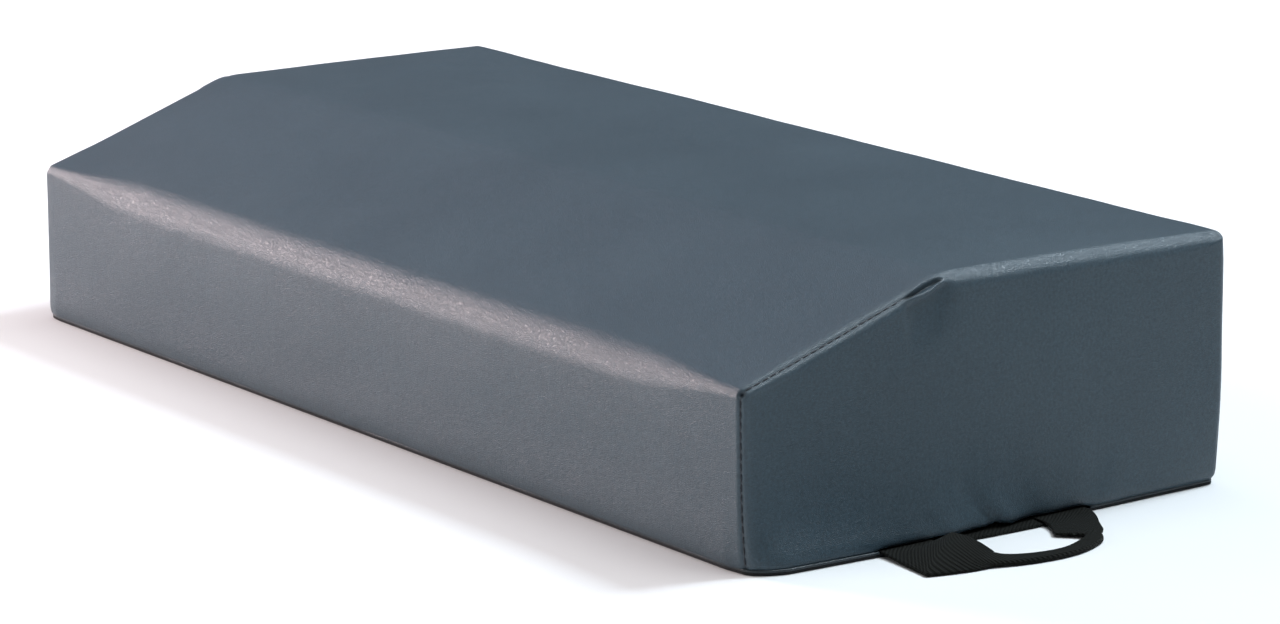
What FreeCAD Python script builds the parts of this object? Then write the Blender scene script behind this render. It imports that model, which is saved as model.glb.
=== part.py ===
import FreeCAD, Part
import os
import re

import Sketcher

# Incline mat: a foam block with one long edge cut back to a slope, in a zipped vinyl cover with a
# non-slip base and a webbing handle. Millimetres, +Z up. X runs along the mat, towards the end
# with the handle; Y runs from the low front face to the back face; the origin is the middle of
# the underside of the base.

# name, value, meaning
SIZES = [
    ("mat_length", 800, "along X, without the handle"),
    ("mat_width", 340, "front face to back face"),
    ("mat_height", 150, "floor to the flat top"),
    ("front_height", 102, "floor to the top of the front face"),
    ("slope_run", 135, "depth of the slope, measured flat"),
    ("front_round", 22, "radius where the cover folds over the front edge"),
    ("crest_round", 60, "radius of the soft crease between slope and top"),
    ("back_round", 14, "radius where the cover folds over the back edge"),
    ("end_round", 4, "radius round the outline of each end"),
    ("skin", 1.2, "thickness of the padded vinyl"),
    ("core_gap", 0.2, "between the vinyl and the foam"),
    ("plank", 50, "thickness of the foam planks that the core is laminated from"),
    ("base_skin", 2, "thickness of the non-slip base"),
    ("base_inset", 1.5, "how far the base stands back from the end faces and long faces"),
    ("foot_round", 1, "radius under the base's edge"),
    ("welt_bottom", 2.1, "underside of the welt"),
    ("welt_depth", 2.2, "thickness of the welt"),
    ("welt_out", 0.4, "how far the welt stands out of the seam"),
    ("welt_in", 1.3, "how far the welt reaches into the seam"),
    ("welt_round", 0.8, "radius of the welt's edges"),
    ("cover_bottom", 4.4, "lower edge of the vinyl"),
    ("strap_width", 38, "webbing of the handle"),
    ("strap_skin", 1.6, "thickness of the webbing"),
    ("strap_fold", 3.2, "thickness of the webbing where it is folded double"),
    ("strap_lift", 0.4, "underside of the handle loop above the floor"),
    ("tail_in", 26, "length of each sewn handle end inside the seam"),
    ("tail_out", 20, "length of each sewn handle end outside the seam"),
    ("backing_out", 15, "how far the webbing between the sewn ends shows outside the seam"),
    ("backing_gap", 0.2, "between that webbing and each sewn end"),
    ("hinge_gap", 0.3, "between a sewn end and the loop"),
    ("tail_front", -86, "Y of the front handle end's front edge"),
    ("tail_rear", 28, "Y of the rear handle end's front edge"),
    ("loop_reach", 75, "how far the handle loop stands out of the end face"),
    ("grip_width", 9, "width of the folded grip"),
    ("grip_front", -62, "Y where the grip starts"),
    ("grip_rear", -2, "Y where the grip turns back to the mat"),
    ("elbow_out", 61, "how far out the front leg turns into the grip"),
    ("elbow_front", -90, "Y of the front leg's outer corner"),
    ("bend_out", 60, "how far out the rear leg turns into the grip"),
    ("bend_rear", 34, "Y of the rear bend's outer corner"),
    ("shoulder_out", 38, "how far out the rear leg's folded corner stands"),
    ("shoulder_rear", 17, "Y of the rear leg's folded corner"),
    ("elbow_round", 4, "radius at the loop's front corner"),
    ("grip_round", 14, "radius along the outside of the grip"),
    ("palm_round", 8, "radius inside the loop"),
    ("fold_round", 2, "radius of the rear leg's folded corner"),
    ("zip_level", 25, "height of the zipper's middle"),
    ("zip_half", 345, "half the length of the coils"),
    ("slot_half", 352, "half the length of the slot in the cover"),
    ("slot_tall", 11, "height of the slot in the cover"),
    ("tape_half", 360, "half the length of the tapes"),
    ("tape_tall", 16, "height of one tape"),
    ("tape_skin", 0.6, "thickness of one tape"),
    ("tape_gap", 2, "between the two tapes"),
    ("coil_tall", 2.7, "height of one row of coil"),
    ("coil_deep", 2.1, "how far the coil stands out of the tape"),
    ("coil_round", 0.9, "radius of the coil's outer edge"),
    ("coil_gap", 0.1, "between the two rows of coil"),
    ("slider_at", 335, "X of the slider when the zipper is shut"),
    ("slider_long", 13, "length of the slider"),
    ("slider_plate", 1.2, "thickness of the slider's outer plate"),
    ("slider_half", 4.75, "half the height of the slider"),
    ("slider_wall", 1.35, "thickness of the slider's side walls"),
    ("slider_play", 0.35, "between the slider's plate and the coil"),
    ("bridge_half", 5, "half the length of the slider's bridge"),
    ("bridge_tall", 3.6, "how far the bridge stands out of the plate"),
    ("bridge_wide", 3, "width of the bridge"),
    ("eye_half", 3.2, "half the length of the eye under the bridge"),
    ("eye_deep", 2.4, "depth of the eye under the bridge"),
    ("bar_radius", 0.6, "the pull's crossbar"),
    ("bar_level", 1.3, "the crossbar's middle above the slider's plate"),
    ("pull_nose", 0.7, "from the crossbar's middle to the ends of the pull's arms"),
    ("pull_long", 30, "length of the pull"),
    ("pull_wide", 9, "width of the pull"),
    ("pull_skin", 1.4, "thickness of the pull"),
    ("fork_wide", 3.8, "gap between the pull's two arms"),
    ("fork_long", 7, "length of the gap between the arms"),
    ("stop_long", 3.4, "length of one end stop"),
    ("stitch_inset", 4.6, "from an end's outline to its line of stitches"),
    ("stitch_wide", 0.8, "width of a line of stitches"),
    ("stitch_skin", 0.5, "how far a line of stitches stands out"),
    ("stitch_lift", 0.05, "between a line of stitches and the cloth"),
    ("zip_stitch", 8, "from the zipper's middle to its lines of stitches"),
]

doc = FreeCAD.newDocument("InclineMat")
sheet = doc.addObject("Spreadsheet::Sheet", "Sizes")
for row, (name, size, meaning) in enumerate(SIZES, start=1):
    sheet.set(f"A{row}", name)
    sheet.set(f"B{row}", str(size))
    sheet.set(f"C{row}", meaning)
    sheet.setAlias(f"B{row}", name)
doc.recompute()


NAMES = re.compile(r"\b(" + "|".join(name for name, _, _ in SIZES) + r")\b")


def bound(formula):
    """A formula in the sheet's names, as the document reads it: every name gets its sheet."""
    return NAMES.sub(r"Sizes.\1", formula)


def number(formula):
    found = sheet.evalExpression(bound(formula))
    return float(getattr(found, "Value", found))


def bind(piece, **formulas):
    for path, formula in formulas.items():
        piece.setExpression(path.replace("__", "."), bound(formula))


def close(a, b):
    return abs(a - b) < 1e-6


def fillet(body, base, edges, radius):
    piece = body.newObject("PartDesign::Fillet", body.Name + "_round")
    piece.Base = (base, edges)
    piece.Radius = number(radius)
    bind(piece, Radius=radius)
    doc.recompute()
    return piece


def prism(label, role, corners, length, rounds=None, lift="0", middle=True):
    """A straight-sided piece: an outline on one origin plane, padded, its long edges rounded.
    corners are pairs of formulas in the plane's own two axes, rounds maps a corner to a radius."""
    body = doc.addObject("PartDesign::Body", label)
    body.Label = label
    plane = next(part for part in body.Origin.OriginFeatures if part.Role == role)
    sketch = body.newObject("Sketcher::SketchObject", label + "_outline")
    sketch.AttachmentSupport = (plane, [""])
    sketch.MapMode = "FlatFace"
    bind(sketch, AttachmentOffset__Base__z=lift)
    flat = [(number(across), number(up)) for across, up in corners]
    for place, after in zip(flat, flat[1:] + flat[:1]):
        ends = [FreeCAD.Vector(*place, 0), FreeCAD.Vector(*after, 0)]
        sketch.addGeometry(Part.LineSegment(*ends), False)
    for index in range(len(flat)):
        joined = (index + 1) % len(flat)
        sketch.addConstraint(Sketcher.Constraint("Coincident", index, 2, joined, 1))
    for index, corner in enumerate(corners):
        for kind, formula in zip(("DistanceX", "DistanceY"), corner):
            distance = Sketcher.Constraint(kind, -1, 1, index, 1, number(formula))
            at = sketch.addConstraint(distance)
            sketch.setExpression(f"Constraints[{at}]", bound(formula))
    last = body.newObject("PartDesign::Pad", label + "_pad")
    last.Profile = sketch
    last.Midplane = middle
    bind(last, Length=length)
    doc.recompute()
    first_axis = 1 if role == "YZ_Plane" else 0
    second_axis = 1 if role == "XY_Plane" else 2
    for index, radius in (rounds or {}).items():
        names = []
        for count, edge in enumerate(last.Shape.Edges, start=1):
            on = [
                close(vertex.Point[first_axis], flat[index][0])
                and close(vertex.Point[second_axis], flat[index][1])
                for vertex in edge.Vertexes
            ]
            if len(on) == 2 and all(on):
                names.append(f"Edge{count}")
        last = fillet(body, last, names, radius)
    return body


def box(label, low, high):
    """A box between two corners, each three formulas."""
    piece = doc.addObject("Part::Box", label)
    sides = [f"({top}) - ({bottom})" for bottom, top in zip(low, high)]
    bind(piece, Length=sides[0], Width=sides[1], Height=sides[2])
    for axis, formula in zip("xyz", low):
        piece.setExpression(f"Placement.Base.{axis}", bound(formula))
    piece.Label = label
    return piece


def joined(kind, label, base, tool):
    piece = doc.addObject(kind, label)
    piece.Base = base
    piece.Tool = tool
    piece.Label = label
    return piece


def cut(label, base, tool):
    return joined("Part::Cut", label, base, tool)


def common(label, base, tool):
    return joined("Part::Common", label, base, tool)


def group(label, pieces):
    piece = doc.addObject("Part::MultiFuse", label)
    piece.Shapes = pieces
    piece.Label = label
    return piece


# The end profile, moved inwards by an inset: the corner between the front face and the slope, and
# the crest between the slope and the flat top, both slide along the bisector of their angle.
SLOPE = "atan((mat_height - front_height) / slope_run)"


def front_corner(inset):
    drop = f"({inset}) * (1 - sin({SLOPE})) / cos({SLOPE})"
    return f"-mat_width / 2 + {inset}", f"front_height - {drop}"


def crest(inset):
    return (
        f"-mat_width / 2 + slope_run + ({inset}) * tan({SLOPE} / 2)",
        f"mat_height - {inset}",
    )


def mat_block(label, inset, bottom):
    """The whole mat's outer form moved inwards by an inset, with its edges rounded to match."""
    corners = [
        (f"-mat_width / 2 + {inset}", bottom),
        (f"mat_width / 2 - {inset}", bottom),
        (f"mat_width / 2 - {inset}", f"mat_height - {inset}"),
        crest(inset),
        front_corner(inset),
    ]
    rounds = {
        4: f"front_round - {inset}",
        3: f"crest_round - {inset}",
        2: f"back_round - {inset}",
    }
    body = prism(label, "YZ_Plane", corners, f"mat_length - 2 * ({inset})", rounds)
    end, floor = number(f"mat_length / 2 - {inset}"), number(bottom)
    outline = []
    for count, edge in enumerate(body.Tip.Shape.Edges, start=1):
        bounds = edge.BoundBox
        at_end = close(abs(bounds.XMin), end) and close(bounds.XMin, bounds.XMax)
        if at_end and not close(bounds.ZMax, floor):
            outline.append(f"Edge{count}")
    fillet(body, body.Tip, outline, f"end_round - {inset}")
    return body


def mat_outline(label, outset, bottom, top):
    """A rounded rectangle, larger than the mat's plan by an outset, between two heights."""
    across, deep = f"mat_length / 2 + {outset}", f"mat_width / 2 + {outset}"
    corners = [
        (f"-({across})", f"-({deep})"),
        (across, f"-({deep})"),
        (across, deep),
        (f"-({across})", deep),
    ]
    rounds = {corner: f"end_round + {outset}" for corner in range(4)}
    return prism(label, "XY_Plane", corners, f"({top}) - ({bottom})", rounds, bottom, False)


def level_rounds(body, heights, radius):
    """Rounds every edge of a body that lies flat at one of the heights."""
    names = []
    for count, edge in enumerate(body.Tip.Shape.Edges, start=1):
        bounds = edge.BoundBox
        if close(bounds.ZMin, bounds.ZMax) and any(close(bounds.ZMin, at) for at in heights):
            names.append(f"Edge{count}")
    fillet(body, body.Tip, names, radius)
    return body


def make_handle_ends():
    """The two flat ends of the webbing, sewn into the seam under the end face, and the strip of
    webbing between them that backs the seam."""
    ends = []
    for label, start in (("handle_end_front", "tail_front"), ("handle_end_rear", "tail_rear")):
        low = ("mat_length / 2 - tail_in", start, "base_skin")
        high = ("mat_length / 2 + tail_out", f"{start} + strap_width", "base_skin + strap_skin")
        ends.append(box(label, low, high))
    low = ("mat_length / 2 - tail_in", "tail_front + strap_width + backing_gap", "base_skin")
    high = ("mat_length / 2 + backing_out", "tail_rear - backing_gap", "base_skin + strap_skin")
    ends.append(box("handle_backing", low, high))
    return ends


def make_handle_loop():
    """The free loop of the webbing: a wide front leg, a narrow folded grip and a rear leg."""
    end = "mat_length / 2"
    start = f"{end} + tail_out + hinge_gap"
    out, palm = f"{end} + loop_reach", f"{end} + loop_reach - grip_width"
    corners = [
        (start, "tail_front"),
        (f"{end} + elbow_out", "elbow_front"),
        (f"{out} - grip_width / 4", "grip_front"),
        (out, "grip_rear"),
        (f"{end} + bend_out", "bend_rear"),
        (start, "tail_rear + strap_width"),
        (start, "tail_rear"),
        (f"{end} + shoulder_out", "shoulder_rear"),
        (f"{end} + bend_out - grip_width", "bend_rear - grip_width / 4"),
        (palm, "grip_rear + grip_width / 2"),
        (f"{palm} - grip_width / 2", "grip_front + strap_width"),
        (f"{palm} - 1.5 * grip_width", "tail_front + strap_width"),
        (start, "tail_front + strap_width"),
    ]
    rounds = {
        1: "elbow_round",
        2: "grip_round",
        3: "grip_round",
        4: "grip_round",
        7: "fold_round",
        8: "fold_round",
        9: "palm_round",
        10: "palm_round",
        11: "palm_round",
    }
    return prism("handle_loop", "XY_Plane", corners, "strap_fold", rounds, "strap_lift", False)


def strap_way(label, low, high):
    """A box, between two heights, where the webbing crosses the seam."""
    near = ("mat_length / 2 - 2 * skin", "tail_front - core_gap", low)
    away = ("mat_length / 2 + 2 * skin", "tail_rear + strap_width + core_gap", high)
    return box(label, near, away)


def make_base():
    """The non-slip panel that the mat stands on."""
    panel = mat_outline("base_panel", "-base_inset", "0", "base_skin")
    return level_rounds(panel, [0], "foot_round")


def make_core():
    """Three planks, glued flat, cut to the profile, with room for the sewn ends and the tapes."""
    core = mat_block("foam_core", "(skin + core_gap)", "base_skin")
    far, near = "-mat_length / 2", "mat_length / 2"
    front, back = "-mat_width / 2", "mat_width / 2"
    tail_room = box(
        "tail_room",
        ("mat_length / 2 - tail_in - 1", "tail_front - 1", "base_skin - 1"),
        (near, "tail_rear + strap_width + 1", "base_skin + strap_skin + core_gap"),
    )
    tape_room = box(
        "tape_room",
        ("-tape_half - 1", "mat_width / 2 - skin - tape_skin - 0.3", "zip_level - tape_tall - 3"),
        ("tape_half + 1", back, "zip_level + tape_tall + 3"),
    )
    room = group("core_room", [tail_room, tape_room])
    planks = []
    levels = [("foam_lower_slab", 0), ("foam_middle_slab", 1), ("foam_upper_slab", 2)]
    for label, index in levels:
        low = (far, front, f"{index} * plank")
        high = (near, back, f"{index + 1} * plank")
        slice_box = box(label + "_slice", low, high)
        if index == 0:
            lower = common("lower_plank", core, slice_box)
            planks.append(cut(label, lower, room))
        else:
            planks.append(common(label, core, slice_box))
    return planks


def make_cover():
    """The vinyl: one closed wrap, open below, with a slot for the zipper low on the back."""
    outside = mat_block("cover_outside", "0", "cover_bottom")
    inside = mat_block("cover_inside", "skin", "cover_bottom - 1")
    slot = box(
        "zip_slot",
        ("-slot_half", "mat_width / 2 - 2 * skin", "zip_level - slot_tall / 2"),
        ("slot_half", "mat_width / 2 + 1", "zip_level + slot_tall / 2"),
    )
    return cut("cover_shell", cut("cover_wrap", outside, inside), slot)


def make_welt():
    """The rolled strip of vinyl in the seam between the cover and the base."""
    top = "welt_bottom + welt_depth"
    outer = mat_outline("welt_outer", "welt_out", "welt_bottom", top)
    level_rounds(outer, [number("welt_bottom"), number(top)], "welt_round")
    inner = mat_outline("welt_inner", "-welt_in", "welt_bottom - 1", f"{top} + 1")
    way = strap_way("welt_way", "welt_bottom - 1", f"{top} + 1")
    return cut("bottom_welt", cut("welt_ring", outer, inner), way)


def make_end_stitches(label, side):
    """The line of stitches up the front corner of one end and along its slope."""
    narrow, wide = "stitch_inset", "(stitch_inset + stitch_wide)"
    corners = [
        (f"-mat_width / 2 + {narrow}", "cover_bottom + stitch_inset"),
        (f"-mat_width / 2 + {wide}", "cover_bottom + stitch_inset"),
        front_corner(wide),
        crest(wide),
        crest(narrow),
        front_corner(narrow),
    ]
    face = "mat_length / 2 + stitch_lift"
    lift = face if side > 0 else f"-({face}) - stitch_skin"
    return prism(label, "YZ_Plane", corners, "stitch_skin", None, lift, False)


def make_zip_stitches():
    """The two lines of stitches that hold the tapes to the cover."""
    lines = []
    for label, level in (("above", "zip_level + zip_stitch"), ("below", "zip_level - zip_stitch")):
        low = ("-slot_half", "mat_width / 2 + stitch_lift", f"{level} - stitch_wide / 2")
        high = ("slot_half", "mat_width / 2 + stitch_skin", f"{level} + stitch_wide / 2")
        lines.append(box("zip_line_" + label, low, high))
    return group("seam_thread_zip", lines)


TAPE_FACE = "mat_width / 2 - skin - 0.1"
COIL_FACE = f"{TAPE_FACE} + 0.05 + coil_deep"


def make_zip_rows():
    """The two tapes inside the cover and the two rows of coil that stand in its slot."""
    rows = []
    for name, side in (("upper", 1), ("lower", -1)):
        near = f"zip_level + ({side}) * tape_gap / 2"
        far = f"{near} + ({side}) * tape_tall"
        bottom, top = (near, far) if side > 0 else (far, near)
        tape = box(
            f"zip_tape_{name}",
            ("-tape_half", f"{TAPE_FACE} - tape_skin", bottom),
            ("tape_half", TAPE_FACE, top),
        )
        shut = f"zip_level + ({side}) * coil_gap / 2"
        away = f"{shut} + ({side}) * coil_tall"
        corners = [
            (f"{TAPE_FACE} + 0.05", shut),
            (f"{TAPE_FACE} + 0.05", away),
            (COIL_FACE, away),
            (COIL_FACE, shut),
        ]
        length = "2 * zip_half"
        coil = prism(f"zip_coil_{name}", "YZ_Plane", corners, length, {2: "coil_round"})
        rows += [tape, coil]
    return rows


PLATE_IN = f"{COIL_FACE} + slider_play"
PLATE_OUT = f"{PLATE_IN} + slider_plate"


def make_slider():
    """The slider: a plate with two side walls over the coil, and a bridge that holds the pull."""
    wall = f"{TAPE_FACE} + 0.4"
    top, bottom = "zip_level + slider_half", "zip_level - slider_half"
    corners = [
        (wall, bottom),
        (PLATE_OUT, bottom),
        (PLATE_OUT, top),
        (wall, top),
        (wall, f"{top} - slider_wall"),
        (PLATE_IN, f"{top} - slider_wall"),
        (PLATE_IN, f"{bottom} + slider_wall"),
        (wall, f"{bottom} + slider_wall"),
    ]
    rounds = {1: "slider_plate * 0.6", 2: "slider_plate * 0.6"}
    lift = "slider_at - slider_long / 2"
    channel = prism("slider_channel", "YZ_Plane", corners, "slider_long", rounds, lift, False)
    crown = f"{PLATE_OUT} + bridge_tall"
    arch_corners = [
        ("slider_at - bridge_half", f"{PLATE_OUT} - slider_plate / 2"),
        ("slider_at + bridge_half", f"{PLATE_OUT} - slider_plate / 2"),
        ("slider_at + bridge_half", crown),
        ("slider_at - bridge_half", crown),
    ]
    arch_rounds = {2: "bridge_tall / 2", 3: "bridge_tall / 2"}
    foot = "zip_level - bridge_wide / 2"
    arch = prism("bridge_arch", "XY_Plane", arch_corners, "bridge_wide", arch_rounds, foot, False)
    eye = box(
        "bridge_eye",
        ("slider_at - eye_half", PLATE_OUT, f"{foot} - 1"),
        ("slider_at + eye_half", f"{PLATE_OUT} + eye_deep", f"{foot} + bridge_wide + 1"),
    )
    return group("zip_slider", [channel, cut("slider_bridge", arch, eye)])


def make_pull():
    """The pull: a flat tab whose two arms straddle the bridge, with a bar through its eye."""
    middle = f"{PLATE_OUT} + bar_level"
    front = f"{middle} - pull_skin / 2"
    nose = "slider_at + pull_nose"
    corners = [
        (f"{nose} - pull_long", "zip_level - pull_wide * 0.4"),
        (nose, "zip_level - pull_wide / 2"),
        (nose, "zip_level + pull_wide / 2"),
        (f"{nose} - pull_long", "zip_level + pull_wide * 0.4"),
    ]
    rounds = {0: "pull_wide * 0.35", 3: "pull_wide * 0.35"}
    lift = f"-({middle}) - pull_skin / 2"
    tab = prism("pull_tab", "XZ_Plane", corners, "pull_skin", rounds, lift, False)
    fork = box(
        "pull_fork",
        (f"{nose} - fork_long", f"{front} - 1", "zip_level - fork_wide / 2"),
        (f"{nose} + 1", f"{front} + pull_skin + 1", "zip_level + fork_wide / 2"),
    )
    bar = doc.addObject("Part::Cylinder", "pull_bar")
    bind(bar, Radius="bar_radius", Height="fork_wide + 2")
    bind(bar, Placement__Base__x="slider_at", Placement__Base__y=middle)
    bind(bar, Placement__Base__z="zip_level - fork_wide / 2 - 1")
    return group("zip_pull", [cut("pull_arms", tab, fork), bar])


def make_stops():
    """The two clips that end the coil."""
    clips = []
    for name, side in (("near", 1), ("far", -1)):
        near, far = "zip_half + 0.1", "zip_half + 0.1 + stop_long"
        low, high = (near, far) if side > 0 else (f"-({far})", f"-({near})")
        clips.append(
            box(
                f"stop_{name}",
                (low, f"{TAPE_FACE} + 0.05", "zip_level - coil_tall - 0.4"),
                (high, f"{COIL_FACE} + 0.3", "zip_level + coil_tall + 0.4"),
            )
        )
    return group("zip_end_stops", clips)


pieces = [*make_core(), make_cover(), make_base(), make_welt()]
pieces += [*make_handle_ends(), make_handle_loop()]
pieces += [
    make_end_stitches("seam_thread_near_end", 1),
    make_end_stitches("seam_thread_far_end", -1),
    make_zip_stitches(),
]
pieces += [*make_zip_rows(), make_slider(), make_pull(), make_stops()]

doc.recompute()
for thing in doc.Objects:
    if "Invalid" in thing.State or "Error" in thing.State:
        raise RuntimeError(f"{thing.Label} failed: {thing.State}")
os.makedirs("parts", exist_ok=True)
for piece in pieces:
    shape = piece.Shape
    if shape.isNull() or not shape.isValid():
        raise RuntimeError(f"{piece.Label} has no valid shape")
    shape.exportStep(os.path.join("parts", piece.Label + ".step"))
    bounds = shape.optimalBoundingBox()
    print(
        f"{piece.Label}: {len(shape.Solids)} solid, {shape.Volume:.1f} mm3, "
        f"X {bounds.XMin:.2f} to {bounds.XMax:.2f}, Y {bounds.YMin:.2f} to {bounds.YMax:.2f}, "
        f"Z {bounds.ZMin:.2f} to {bounds.ZMax:.2f}"
    )
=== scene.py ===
"""Incline mat: the padded vinyl cover, its seams, base, handle and zipper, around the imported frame.

Lengths are in millimetres until a mesh is made. X runs along the mat towards the end with the
handle, Y from the low front face to the back face, Z up, as in the frame.
"""

import math

import bmesh
import bpy
import numpy as np
from mathutils import Matrix, Vector, noise


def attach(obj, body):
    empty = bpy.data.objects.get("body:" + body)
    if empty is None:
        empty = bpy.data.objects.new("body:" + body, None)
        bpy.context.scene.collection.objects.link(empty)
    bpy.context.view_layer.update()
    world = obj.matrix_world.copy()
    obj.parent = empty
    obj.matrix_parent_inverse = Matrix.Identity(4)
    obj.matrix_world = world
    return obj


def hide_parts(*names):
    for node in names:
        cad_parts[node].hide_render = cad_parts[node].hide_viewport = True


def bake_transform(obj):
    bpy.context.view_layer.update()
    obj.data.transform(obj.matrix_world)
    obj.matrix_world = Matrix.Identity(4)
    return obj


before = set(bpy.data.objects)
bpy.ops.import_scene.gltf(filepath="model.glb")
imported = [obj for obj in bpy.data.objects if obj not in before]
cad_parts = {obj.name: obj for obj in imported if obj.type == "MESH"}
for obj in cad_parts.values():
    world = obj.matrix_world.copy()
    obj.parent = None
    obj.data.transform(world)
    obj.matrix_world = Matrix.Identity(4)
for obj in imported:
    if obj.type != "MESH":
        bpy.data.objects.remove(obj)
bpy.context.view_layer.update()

MM = 0.001
END = 400.0
BACK = 170.0
FRONT = -170.0
TOP = 150.0
FRONT_TOP = 102.0
CREST_Y = -35.0
HEM = 4.4
SKIN = 1.2
SLOPE = math.atan2(TOP - FRONT_TOP, CREST_Y - FRONT)
SLOT_HALF = 352.0
SLOT_LOW, SLOT_HIGH = 19.5, 30.5
STRAP_WAY = (-86.0, 66.0)
STRAP_LEVEL = 2.8
WEBBING_WIDTH, WEBBING_THICKNESS = 38.0, 1.3


def smooth(low, high, value):
    t = np.clip((np.asarray(value, float) - low) / (high - low), 0.0, 1.0)
    return t * t * (3.0 - 2.0 * t)


def bell(value, width):
    return np.exp(-((np.asarray(value, float) / width) ** 2))


def unit(v):
    v = np.asarray(v, float)
    return v / np.maximum(np.linalg.norm(v, axis=-1, keepdims=True), 1e-12)


def spline(points, count):
    """A Catmull-Rom curve through the points, evenly divided by its parameter."""
    pts = np.asarray(points, float)
    pts = np.vstack([2 * pts[0] - pts[1], pts, 2 * pts[-1] - pts[-2]])
    spans = len(pts) - 3
    out = []
    for t in np.linspace(0, spans, count):
        k = min(int(t), spans - 1)
        u = t - k
        a, b, c, d = pts[k : k + 4]
        square = (2 * a - 5 * b + 4 * c - d) * u**2
        cube = (3 * b - a - 3 * c + d) * u**3
        out.append(0.5 * (2 * b + (c - a) * u + square + cube))
    return np.array(out)


def add_mesh(name, points, faces, smooth_shading=True):
    """A mesh object from points in millimetres."""
    mesh = bpy.data.meshes.new(name)
    metres = np.asarray(points, float) * MM
    mesh.from_pydata([tuple(p) for p in metres], [], [tuple(f) for f in faces])
    mesh.validate()
    mesh.update()
    if smooth_shading:
        mesh.polygons.foreach_set("use_smooth", [True] * len(mesh.polygons))
    piece = bpy.data.objects.new(name, mesh)
    bpy.context.scene.collection.objects.link(piece)
    return piece


def apply_modifier(piece, kind, **settings):
    """Adds a modifier to a piece and makes its result the piece's mesh."""
    modifier = piece.modifiers.new(kind.title(), kind)
    for key, value in settings.items():
        setattr(modifier, key, value)
    graph = bpy.context.evaluated_depsgraph_get()
    mesh = bpy.data.meshes.new_from_object(piece.evaluated_get(graph))
    piece.modifiers.clear()
    old = piece.data
    piece.data = mesh
    bpy.data.meshes.remove(old)


def tube(path, radius, sides):
    """Points and faces of a tube along a path, with flat ends."""
    path = np.asarray(path, float)
    count = len(path)
    along = unit(np.gradient(path, axis=0))
    radii = np.broadcast_to(np.asarray(radius, float), (count,)).copy()
    side = np.cross(along, (0.0, 0.0, 1.0))
    weak = np.linalg.norm(side, axis=1) < 1e-3
    side[weak] = np.cross(along[weak], (1.0, 0.0, 0.0))
    side = unit(side)
    lift = np.cross(side, along)
    angles = np.linspace(0, 2 * math.pi, sides, endpoint=False)
    ring = (
        side[:, None] * np.cos(angles)[None, :, None]
        + lift[:, None] * np.sin(angles)[None, :, None]
    ) * radii[:, None, None]
    points = (path[:, None] + ring).reshape(-1, 3)
    faces = []
    for k in range(count - 1):
        a, b = k * sides, (k + 1) * sides
        for j in range(sides):
            n = (j + 1) % sides
            faces.append((a + j, a + n, b + n, b + j))
    faces.append(tuple(range(sides))[::-1])
    faces.append(tuple((count - 1) * sides + j for j in range(sides)))
    return points, faces


def joined(parts):
    """Several (points, faces) as one."""
    points, faces, base = [], [], 0
    for some, some_faces in parts:
        points.append(some)
        faces.extend(tuple(base + i for i in face) for face in some_faces)
        base += len(some)
    return np.vstack(points), faces


# ---------------------------------------------------------------- materials


class Shader:
    """A material's node tree, built one node at a time."""

    def __init__(self, name):
        self.material = bpy.data.materials.new(name)
        self.material.use_nodes = True
        self.nodes = self.material.node_tree.nodes
        self.links = self.material.node_tree.links
        self.nodes.clear()
        self.surface = self.add("ShaderNodeBsdfPrincipled")
        out = self.nodes.new("ShaderNodeOutputMaterial")
        self.links.new(self.surface.outputs[0], out.inputs["Surface"])
        self.place = self.add("ShaderNodeTexCoord").outputs["Object"]

    def add(self, kind, inputs=None, **settings):
        node = self.nodes.new(kind)
        for key, value in settings.items():
            setattr(node, key, value)
        self.feed(node, inputs or {})
        return node

    def feed(self, node, inputs):
        for key, value in inputs.items():
            if isinstance(value, bpy.types.NodeSocket):
                self.links.new(value, node.inputs[key])
            else:
                node.inputs[key].default_value = value

    def math(self, operation, a, b=0.0, clamp=False):
        node = self.add("ShaderNodeMath", {0: a, 1: b}, operation=operation, use_clamp=clamp)
        return node.outputs[0]

    def noise(self, scale, detail=2.0, rough=0.5, where=None):
        where = where or self.place
        node = self.add(
            "ShaderNodeTexNoise",
            {"Vector": where, "Scale": scale, "Detail": detail, "Roughness": rough},
        )
        return node.outputs["Fac"]

    def ramp(self, value, stops):
        node = self.add("ShaderNodeValToRGB", {"Fac": value})
        while len(node.color_ramp.elements) < len(stops):
            node.color_ramp.elements.new(0.5)
        for element, (at, colour) in zip(node.color_ramp.elements, stops):
            element.position = at
            element.color = (*((colour,) * 3 if np.isscalar(colour) else colour), 1.0)
        return node.outputs["Color"]

    def mix(self, factor, a, b, blend="MIX"):
        node = self.add("ShaderNodeMix", data_type="RGBA", blend_type=blend)
        self.feed(node, {"Factor": factor})
        for socket, value in ((node.inputs[6], a), (node.inputs[7], b)):
            if isinstance(value, bpy.types.NodeSocket):
                self.links.new(value, socket)
            else:
                socket.default_value = (*value, 1.0)
        return node.outputs[2]

    def bump(self, height, strength, distance, normal=None):
        inputs = {"Height": height, "Strength": strength, "Distance": distance}
        if normal is not None:
            inputs["Normal"] = normal
        return self.add("ShaderNodeBump", inputs).outputs[0]

    def mask(self, name):
        return self.add("ShaderNodeAttribute", attribute_name=name).outputs["Fac"]

    def finish(self, **inputs):
        names = {
            "colour": "Base Color",
            "rough": "Roughness",
            "metal": "Metallic",
            "normal": "Normal",
            "sheen": "Sheen Weight",
            "specular": "Specular IOR Level",
        }
        self.feed(self.surface, {names[key]: value for key, value in inputs.items()})
        return self.material


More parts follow.
